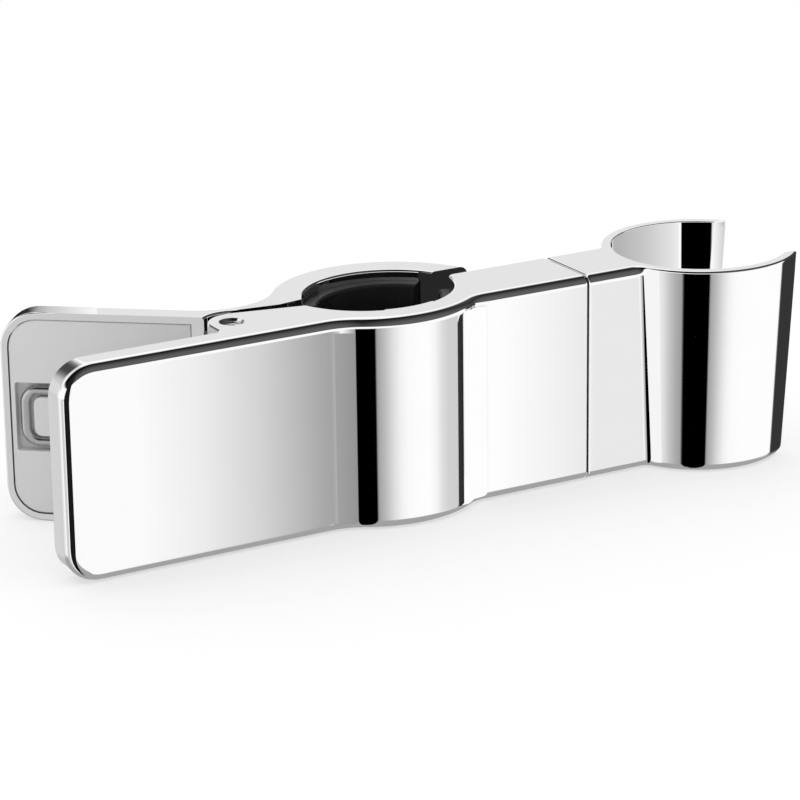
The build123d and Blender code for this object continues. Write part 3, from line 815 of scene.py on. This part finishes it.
class Wire:
    def __init__(self, tree, socket=None):
        self.tree, self.socket = tree, socket

    def node(self, kind, inputs=None, settings=None, output=0):
        made = self.tree.nodes.new("ShaderNode" + kind)
        for key, value in (settings or {}).items():
            if key == "stops":
                ramp = made.color_ramp.elements
                for i, (place, shade) in enumerate(value):
                    stop = ramp[i] if i < 2 else ramp.new(place)
                    stop.position, stop.color = place, shade
            else:
                setattr(made, key, value)
        for key, value in (inputs or {}).items():
            if isinstance(value, Wire):
                self.tree.links.new(value.socket, made.inputs[key])
            else:
                made.inputs[key].default_value = value
        return Wire(self.tree, made.outputs[output]) if made.outputs else None

    def math(self, operation, *values):
        return self.node("Math", dict(enumerate(values)), {"operation": operation})

    def vector(self, operation, first, second=(0, 0, 0), output=0):
        return self.node("VectorMath", {0: first, 1: second}, {"operation": operation}, output)

    def axes(self, vector):
        return [self.node("SeparateXYZ", {0: vector}, output=axis) for axis in "XYZ"]

    def __add__(self, other):
        return self.math("ADD", self, other)

    def __sub__(self, other):
        return self.math("SUBTRACT", self, other)

    def __rsub__(self, other):
        return self.math("SUBTRACT", other, self)

    def __mul__(self, other):
        return self.math("MULTIPLY", self, other)

    def __truediv__(self, other):
        return self.math("DIVIDE", self, other)

    def __rtruediv__(self, other):
        return self.math("DIVIDE", other, self)

    def __neg__(self):
        return self.math("MULTIPLY", self, -1)

    __radd__, __rmul__ = __add__, __mul__


def startTree(owner):
    owner.use_nodes = True
    owner.node_tree.nodes.clear()
    return Wire(owner.node_tree)


def grey(level):
    return (level, level, level, 1)


def colour(value):
    return grey(value) if isinstance(value, float) else (*value, 1)


def noise(w, place, scale, detail):
    return w.node("TexNoise", {"Vector": place, "Scale": scale, "Detail": detail})


def mixColour(w, factor, first, second):
    return w.node("Mix", {0: factor, 6: first, 7: second}, {"data_type": "RGBA"}, output=2)


cloudDetail, grainDetail = 3.0, 2.0
ringShare = 0.6  # of the turning marks in a turned finish's bump


def principled(name, look):
    # every finish: a clouded colour and roughness over Object coordinates, and a fine grain as bump
    material = bpy.data.materials.new(name)
    w = startTree(material)
    place = w.node("TexCoord", output="Object")
    cloud = noise(w, place, look["cloudScale"], cloudDetail)
    grain = noise(w, place, look["grainScale"], grainDetail)
    if "rings" in look:
        grain = grain * (1 - ringShare) + turnedRings(w, place, **look["rings"]) * ringShare
    low, high = look["roughness"]
    bump = w.node("Bump", {"Height": grain, "Strength": 1.0, "Distance": look["grainHeight"] * mm})
    shader = w.node("BsdfPrincipled", {
        "Base Color": mixColour(w, cloud, colour(look["dark"]), colour(look["light"])),
        "Metallic": look.get("metallic", 0.0),
        "Roughness": low + (high - low) * cloud,
        "IOR": 1.5,
        "Normal": bump,
    })
    w.node("OutputMaterial", {"Surface": shader})
    return material


def turnedRings(w, place, axis, centre, pitch):
    # fine circles left by turning about an axis
    out = w.vector("SUBTRACT", place, Vector(centre) * mm)
    flat = w.vector("MULTIPLY", out, Vector((1, 1, 1)) - Vector(axis))
    radius = w.vector("LENGTH", flat, output="Value")
    return w.math("SINE", radius * (2 * pi / (pitch * mm))) * 0.5 + 0.5


finishes = {
    "polishedChrome": {
        "dark": 0.93, "light": 0.96, "metallic": 1.0, "roughness": (0.02, 0.045),
        "cloudScale": 140, "grainScale": 420, "grainHeight": 0.0006,
    },
    "greyInlay": {
        "dark": 0.71, "light": 0.75, "roughness": (0.42, 0.56),
        "cloudScale": 260, "grainScale": 5200, "grainHeight": 0.012,
    },
    "blackRubber": {
        "dark": 0.008, "light": 0.014, "roughness": (0.38, 0.52),
        "cloudScale": 300, "grainScale": 2600, "grainHeight": 0.02,
    },
    "springSteel": {
        "dark": 0.54, "light": 0.66, "metallic": 1.0, "roughness": (0.22, 0.32),
        "cloudScale": 500, "grainScale": 2400, "grainHeight": 0.002,
    },
    "pinSteel": {
        "dark": (0.60, 0.60, 0.61), "light": (0.70, 0.70, 0.71), "metallic": 1.0, "roughness": (0.12, 0.22),
        "cloudScale": 700, "grainScale": 4200, "grainHeight": 0.004,
        "rings": {"axis": (0, 0, 1), "centre": tuple(hinge), "pitch": 0.12},
    },
    "screwSteel": {
        "dark": (0.56, 0.56, 0.57), "light": (0.68, 0.68, 0.69), "metallic": 1.0, "roughness": (0.16, 0.28),
        "cloudScale": 700, "grainScale": 4200, "grainHeight": 0.004,
        "rings": {"axis": (1, 0, 0), "centre": tuple(swivel), "pitch": 0.14},
    },
    "turnedBrass": {
        "dark": (0.62, 0.42, 0.16), "light": (0.74, 0.53, 0.24), "metallic": 1.0, "roughness": (0.2, 0.34),
        "cloudScale": 600, "grainScale": 3600, "grainHeight": 0.005,
        "rings": {"axis": (1, 0, 0), "centre": tuple(swivel), "pitch": 0.18},
    },
    "paleBush": {
        "dark": (0.66, 0.65, 0.61), "light": (0.74, 0.73, 0.69), "roughness": (0.35, 0.5),
        "cloudScale": 420, "grainScale": 3000, "grainHeight": 0.01,
    },
}

# The studio: what the chrome mirrors, by direction, plus cards close to the part

studio = {
    # azimuth from the front (-Y) towards the right (+X), and the brightness there, low down and higher up
    "low": [
        (-180, 0.70), (-140, 0.60), (-112, 0.80), (-94, 0.97), (-84, 0.90), (-76, 0.76), (-68, 0.56),
        (-60, 0.42), (-52.6, 0.34), (-51.8, 0.0), (-20.4, 0.0), (-19.6, 0.36), (-12, 0.52), (-4, 0.74),
        (3, 0.90), (11, 0.98), (28, 1.0), (77, 1.0), (80, 0.97), (82, 0.035), (128, 0.035), (138, 1.0),
        (165, 1.0), (180, 0.74),
    ],
    "high": [
        (-180, 0.80), (-150, 0.70), (-115, 1.0), (78, 1.0), (82, 0.05), (126, 0.05), (138, 1.0), (180, 1.0),
    ],
    "change": (-0.13, -0.06), "gain": 1.04, "fill": 0.86,
    # a dimmer band behind, and a dark spot for the lever's corners
    "backBand": (0.14, 0.28, 0.36, 0.42), "backStart": (0.1, 0.4), "backDim": 0.78,
    "spotWay": (-0.09, 0.873, 0.479), "spotEdge": (0.927, 0.999), "spotDim": 0.92,
    # the dark flag overhead and the grey below
    "flagTilt": 6.5, "flagSide": 30.0, "flagEdge": 0.315, "flagSoft": (0.03, 0.28),
    "flagSoftens": (-0.3, 0.6), "flagFront": 0.11, "flagBack": 0.006, "flagFade": (0.0, 0.9),
    "flagStop": (0.15, 0.35),
    "below": (0.42, 0.60), "belowLevel": 0.36, "belowDark": (0.0, 0.3), "belowLeft": (0.0, 0.1),
}


def makeStudio():
    c = studio
    world = bpy.data.worlds.new("studio")
    bpy.context.scene.world = world
    world.cycles.sampling_method = "NONE"
    w = startTree(world)
    way = w.node("TexCoord", output="Generated")
    x, y, z = w.axes(way)
    turn = w.math("ARCTAN2", x, -y) / (2 * pi) + 0.5

    def ramp(levels):
        stops = [((azimuth + 180) / 360, grey(level)) for azimuth, level in levels]
        return w.node("ValToRGB", {0: turn}, {"stops": stops})

    def rise(value, start, end, first=0.0, last=1.0):
        inputs = dict(enumerate((value, start, end, first, last)))
        return w.node("MapRange", inputs, {"interpolation_type": "SMOOTHSTEP"})

    def toward(direction):
        return w.vector("DOT_PRODUCT", way, direction, "Value")

    higher = rise(z, *c["change"])
    band = rise(z, *c["backBand"][:2]) - rise(z, *c["backBand"][2:])
    behind = rise(y, *c["backStart"])
    spot = rise(toward(c["spotWay"]), *c["spotEdge"]) * c["spotDim"]
    upper = ramp(c["high"]) * (1 - behind * band * (1 - c["backDim"])) * (1 - spot)
    around = ramp(c["low"]) * (1 - higher) + upper * higher
    # dark flag overhead, tilted to the front, with a softer rim at the back
    tilt, side = radians(c["flagTilt"]), radians(c["flagSide"])
    toFront = toward((sin(side), -cos(side), 0))
    sharp, soft = c["flagSoft"]
    rim = c["flagEdge"] + sharp + rise(-toFront, *c["flagSoftens"]) * (soft - sharp)
    height = toward((sin(tilt) * sin(side), -sin(tilt) * cos(side), cos(tilt)))
    flag = rise(height, c["flagEdge"], rim) * (1 - rise(y, *c["flagStop"]))
    flagLevel = rise(toFront, *c["flagFade"], c["flagBack"], c["flagFront"])
    # grey below, but dark under the black stripe on the left
    below = rise(-z, *c["below"])
    lit = 1 - rise(around, *c["belowDark"], 1.0, 0.0) * rise(-x, *c["belowLeft"])
    mirrored = around * (1 - flag) * (1 - below) + flagLevel * flag + below * lit * c["belowLevel"]
    camera, glossy = (w.node("LightPath", output=f"Is {kind} Ray") for kind in ("Camera", "Glossy"))
    level = camera + (1 - camera) * (glossy * mirrored * c["gain"] + (1 - glossy) * c["fill"])
    w.node("OutputWorld", {"Surface": w.node("Background", {"Color": level})})


# flat cards, one row each: first end and second end in plan, the side it faces, top, foot and brightness;
# a pair is for the two ends, and a list of places and levels runs from one end to the other
flatCards = {
    "leverCard": (
        (-4.6, -30.0), (-4.6, -150.0), (-1, 0), (11.4, -22.6), (-32.0, -153.0),
        [(0.0, 0.37), (0.03, 0.40), (0.20, 0.66), (0.38, 0.86), (0.57, 0.98)],
    ),
    "armCard": (
        (45.0, -20.4), (45.0, -66.0), (-1, 0), (12.4, 0.7), (-23.0, -38.0),
        [(0.0, 0.82), (0.29, 0.82), (0.42, 0.85), (0.68, 0.93), (0.94, 1.0)],
    ),
    "flankCard": (
        (12.0, -19.1), (12.0, -36.0), (-1, 0), (13.2, 10.2), (-18.6, -24.0),
        [(0.0, 0.62), (0.22, 0.64), (0.41, 0.74), (0.64, 0.92), (1.0, 1.0)],
    ),
    "endCard": (
        (-57.5, -15.6), (-85.0, -15.6), (0, 1), 11.0, -40.0,
        [(0.0, 1.0), (0.04, 1.0), (0.06, 0.62), (1.0, 0.62)],
    ),
    "backTopCard": (
        (-56.0, 32.0), (-29.0, 32.0), (0, -1), 27.0, 15.0,
        [(0.0, 0.01), (0.5, 0.03), (0.7, 0.57), (1.0, 0.95)],
    ),
    "backCornerCard": (
        (-50.0, 32.0), (-29.0, 32.0), (0, -1), 15.0, -30.0, [(0.0, 0.01), (0.7, 0.02), (1.0, 0.6)],
    ),
    # painted reflection: a grey card just behind the front lever's back, which the back lever mirrors in
    # place of the front lever
    "backLeverReflection": (
        (-28.0, -9.1), (-110.0, -9.1), (0, 1), 15.0, -40.0, [(0.0, 0.56), (0.4, 0.58), (1.0, 0.60)],
    ),
    "cornerStrip": ((-12.1, -16.5), (-10.66, -16.5), (0, 1), 13.4, -18.5, [(0.0, 0.36), (1.0, 0.30)]),
    "flankSliver": ((11.9, -17.35), (11.9, -19.1), (-1, 0), (14.2, 11.5), -18.4, [(0.0, 0.02), (1.0, 0.04)]),
    # painted highlight: a white card set against the round between the bulge and the arm, which that round
    # mirrors
    "valleyHighlight": ((12.4, -13.95), (12.4, -17.2), (-1, 0), 14.0, -18.4, 1.0),
    "footCard": ((22.0, -12.5), (22.0, -19.0), (-1, 0), -18.8, -32.0, 0.36),
    # painted highlights: bright cards set just off the faces, one in front of the seam and one on the stub by
    # the cup, mirrored by the rounds beside them
    "seamShine": ((29.9, -14.0), (29.9, -16.6), (1, 0), 15.3, -18.0, 1.0),
    "stubHighlight": ((38.2, -14.05), (38.2, -16.7), (1, 0), 15.0, -18.0, 0.93),
    # painted shade: dark cards at the back jaw's tip, one in the gap between the tip and the arm and one at
    # the tip's inner edge, mirrored by the chrome beside them
    "tipShadeCard": ((11.0, -0.4), (20.0, -0.4), (0, 1), 16.0, -17.0, 0.02),
    "tipShadeLine": ((11.25, 0.4), (9.9, 2.2), (0.8, 0.6), 16.0, -17.0, 0.02),
    "lipCard": ((65.0, -2.0), (68.0, -2.0), (0, 1), 15.0, -30.0, [(0.0, 0.95), (1.0, 0.50)]),
}
# painted shade: dark strips set inside the seam's gap, along its front and its top, which the rounds beside
# the seam mirror
seamShade = {"x": 30.2, "front": -13.2, "back": -2.3, "top": 15.3, "width": 1.5, "level": 0.02}


def showFront(w, shader):
    # clear from behind
    behind = w.node("NewGeometry", output="Backfacing")
    shown = w.node("MixShader", {0: behind, 1: shader, 2: w.node("BsdfTransparent")})
    w.node("OutputMaterial", {"Surface": shown})


def hangCard(card, run, levels):
    # lit on the side it faces, and only the chrome sees it
    material = bpy.data.materials.new(card.name)
    w = startTree(material)
    place = w.node("TexCoord", output="Object")
    if isinstance(levels, float):
        levels = [(0.0, levels), (1.0, levels)]
    stops = [(at, grey(level)) for at, level in levels]
    glow = w.node("ValToRGB", {0: run(w, place)}, {"stops": stops})
    showFront(w, w.node("Emission", {"Color": glow, "Strength": studio["gain"]}))
    card.data.materials.append(material)
    card.visible_camera = card.visible_diffuse = card.visible_shadow = card.visible_transmission = False


def faceCard(card, way):
    card.data.update()
    if card.data.polygons[0].normal.xy.dot(Vector(way)) < 0:
        card.data.flip_normals()


def makeFlatCard(name, start, end, faces, tops, feet, levels):
    card = add(bpy.ops.mesh.primitive_plane_add, name, size=1)
    start, end = Vector(start), Vector(end)
    edges = [edge if isinstance(edge, tuple) else (edge, edge) for edge in (feet, tops)]
    corners = [plan.place(side, level) for edge in edges for side, level in zip((start, end), edge)]
    for vertex, corner in zip(card.data.vertices, corners):
        vertex.co = corner
    faceCard(card, faces)
    span = (end - start) / (end - start).length_squared / mm

    def run(w, place):
        return w.vector("DOT_PRODUCT", place, (*span, 0), "Value") - start.dot(span) * mm

    hangCard(card, run, levels)


def makeSeamShade():
    # painted shade in the seam: a dark strip on each side of its gap
    c = seamShade
    x, front, top, width = c["x"], c["front"], c["top"], c["width"]
    for name, end, foot in (("seamFrontShade", front + width, -top), ("seamTopShade", c["back"], top - width)):
        for side in (1, -1):
            makeFlatCard(name, (x, front), (x, end), (side, 0), top, foot, c["level"])


# painted reflection: a dark card close in front of the front lever's round end and following it, which that
# round end mirrors as a dark line
endReflectionLine = {"y": -15.5, "inside": 1.36, "outside": 1.75, "level": 0.01, "top": 62.0, "foot": 58.0, "steps": 24}


def makeEndReflectionLine():
    c, corner = endReflectionLine, frontCasting["leverCorner"]
    x, z = frontCasting["leverEndX"] + corner, half - corner
    near, far = corner - c["inside"], corner + c["outside"]

    def edge(side, turn, radius):
        # round one corner, drawn out to the card's far side at its end
        shares = [i / c["steps"] for i in range(c["steps"] + 1)]
        reach = [(radius + (far - radius) * s**2, radians(turn * s)) for s in shares]
        return [(x - r * cos(t), side * (z + r * sin(t))) for r, t in reach]

    points = edge(1, c["top"], far)[::-1] + edge(-1, c["foot"], far)
    points += edge(-1, c["foot"], near)[-2::-1] + edge(1, c["top"], near)[:-1]
    card = ring("endReflectionLine", points, DrawingPlane((0, c["y"], 0), (1, 0, 0), (0, 0, 1)), 0)
    faceCard(card, (0, 1))
    hangCard(card, lambda w, place: 0.0, c["level"])


# painted reflection: a round card just inside the cup's wall, brightness by the angle about the cup's axis,
# which the cup's inner wall mirrors
cupReflection = {
    "gap": 0.4, "low": -14.0, "high": 15.8, "start": 30.0, "end": 150.0, "sides": 240,
    "levels": [
        (30, 0.85), (46, 0.85), (46.6, 0.0), (66.2, 0.0), (66.5, 1.0), (67.5, 1.0), (68.2, 0.86), (73, 0.77),
        (81, 0.69), (88, 0.62), (95, 0.57), (111, 0.49), (120, 0.46), (150, 0.44),
    ],
}


def makeCupReflection():
    c, cup = cupReflection, cupCasting
    centre = (cup["centreX"] - cup["lean"] / 2, cup["centreY"])
    start, span = c["start"], c["end"] - c["start"]
    widen = (cup["topRadius"] - cup["bottomRadius"]) / (2 * half)
    radii = [cup["bottomRadius"] + widen * (z + half) - cup["wall"] - c["gap"] for z in (c["low"], c["high"])]
    card = add(
        bpy.ops.mesh.primitive_cone_add, "cupReflection", vertices=c["sides"], radius1=radii[0] * mm,
        radius2=radii[1] * mm, depth=(c["high"] - c["low"]) * mm, end_fill_type="NOTHING",
        location=plan.place(centre, (c["high"] + c["low"]) / 2),
    )
    settle(card)

    def turnOf(w, place):
        out = w.vector("SUBTRACT", place, plan.place(centre, 0))
        x, y = w.axes(out)[:2]
        return (w.math("ARCTAN2", y, x) * (180 / pi) - start) / span

    levels = [((turn - start) / span, level) for turn, level in c["levels"]]
    # the part of the ring in front of the back wall
    editAll(card)
    cutAt = (0, (centre[1] + radii[0] * sin(radians(start))) * mm, 0)
    bpy.ops.mesh.bisect(plane_co=cutAt, plane_no=(0, 1, 0), clear_inner=True)
    leaveEdit()
    hangCard(card, turnOf, levels)


# in metres, apart from the gap; what the lens sees is partly shade and partly its own light
paleFloor = {"size": 6.0, "gap": 0.1, "bounce": 0.95, "shade": 0.58, "lift": 0.46}


def makeFloor():
    c = paleFloor
    level = cadBox[0].z - c["gap"] * mm
    floor = add(bpy.ops.mesh.primitive_plane_add, "floor", size=c["size"], location=(0, 0, level))
    material = bpy.data.materials.new("paleFloor")
    w = startTree(material)
    camera = w.node("LightPath", output="Is Camera Ray")
    lit = w.node("BsdfDiffuse", {"Color": grey(c["bounce"])})
    shade = w.node("BsdfDiffuse", {"Color": grey(c["shade"])})
    lift = w.node("Emission", {"Color": grey(c["lift"]), "Strength": 1.0})
    both = w.node("AddShader", {0: shade, 1: lift})
    showFront(w, w.node("MixShader", {0: camera, 1: lit, 2: both}))
    floor.data.materials.append(material)
    floor.visible_glossy = False


softbox = {"size": 0.7, "height": 0.75, "energy": 0.9, "place": (-0.12, -0.12)}


def makeLight():
    c = softbox
    lamp = add(bpy.ops.object.light_add, "softbox", type="AREA", location=(*c["place"], c["height"]))
    lamp.data.size = c["size"]
    lamp.data.energy = c["energy"]
    lamp.visible_glossy = False


photoCamera = {
    "place": (-0.2375, -0.4282, 0.1601), "right": (0.8676, -0.4972, -0.0124), "up": (0.1665, 0.2668, 0.9493),
    "lens": 155.6, "sensor": 36.0, "nearest": 0.01, "farthest": 20.0,
}


def makeCamera():
    c = photoCamera
    camera = add(bpy.ops.object.camera_add, "photoCamera")
    right = Vector(c["right"]).normalized()
    back = right.cross(Vector(c["up"])).normalized()
    up = back.cross(right)
    camera.matrix_world = Matrix.Translation(c["place"]) @ Matrix((right, up, back)).transposed().to_4x4()
    camera.data.lens, camera.data.sensor_width = c["lens"], c["sensor"]
    camera.data.clip_start, camera.data.clip_end = c["nearest"], c["farthest"]
    bpy.context.scene.camera = camera


bpy.context.scene.view_settings.view_transform = "Standard"
makeCamera()
makeStudio()
for name, row in flatCards.items():
    makeFlatCard(name, *row)
makeSeamShade()
makeEndReflectionLine()
makeCupReflection()
makeFloor()
makeLight()
print("studio ready")

looks = {name: principled(name, look) for name, look in finishes.items()}
print("finishes ready")


def fitPiece(piece, body, node, look):
    piece.data.materials.clear()
    piece.data.materials.append(looks[look])
    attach(piece, body)
    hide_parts(node)
    print("placed", piece.name, len(piece.data.polygons), "faces")


fitPiece(makeFront(), "front", "clamp_body", "polishedChrome")
fitPiece(makeBack(), "back", "back_jaw", "polishedChrome")
fitPiece(makeCup(), "cup", "holder_cup", "polishedChrome")
fitPiece(makeBackInlay(), "back", "back_lever_panel", "greyInlay")
fitPiece(makeFrontInlay(), "front", "front_lever_panel", "greyInlay")
mouthTurn = 360 + degrees(asin(frontCasting["armBackY"] / frontCasting["boreRadius"]))
frontLiner = makeLiner("frontJawLiner", (0, 0), frontCasting["hornAngle"], mouthTurn)
fitPiece(frontLiner, "front", "front_jaw_liner", "blackRubber")
tipTurn = degrees(asin((backCasting["tipY"] - restRail.y) / backCasting["boreRadius"]))
backLiner = makeLiner("backJawLiner", restRail, tipTurn, backCasting["boreStart"])
fitPiece(backLiner, "back", "back_jaw_liner", "blackRubber")
fitPiece(makePin(), "front", "hinge_pin", "pinSteel")

coil = makeSpring()
coil.data.materials.append(looks["springSteel"])
blendStart, blendEnd = ((hinge.x * mm, (hinge.y + shift) * mm, 0) for shift in spring["blend"])
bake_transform(coil)
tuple(blendStart)
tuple(blendEnd)
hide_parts("torsion_spring")
print("placed", coil.name, len(coil.data.polygons), "faces")

# the swivel's inner pieces keep their shapes and get their finish
innerLooks = {
    "screw_cap": "polishedChrome", "swivel_screw": "screwSteel", "swivel_stop_pin": "screwSteel",
    "thrust_washer": "screwSteel", "disc_spring": "springSteel", "threaded_insert": "turnedBrass",
    "friction_disc": "paleBush", "swivel_bush": "paleBush",
}
for node, look in innerLooks.items():
    mesh = frame["nodes"][node].data
    mesh.materials.clear()
    mesh.materials.append(looks[look])
print("inner pieces finished")
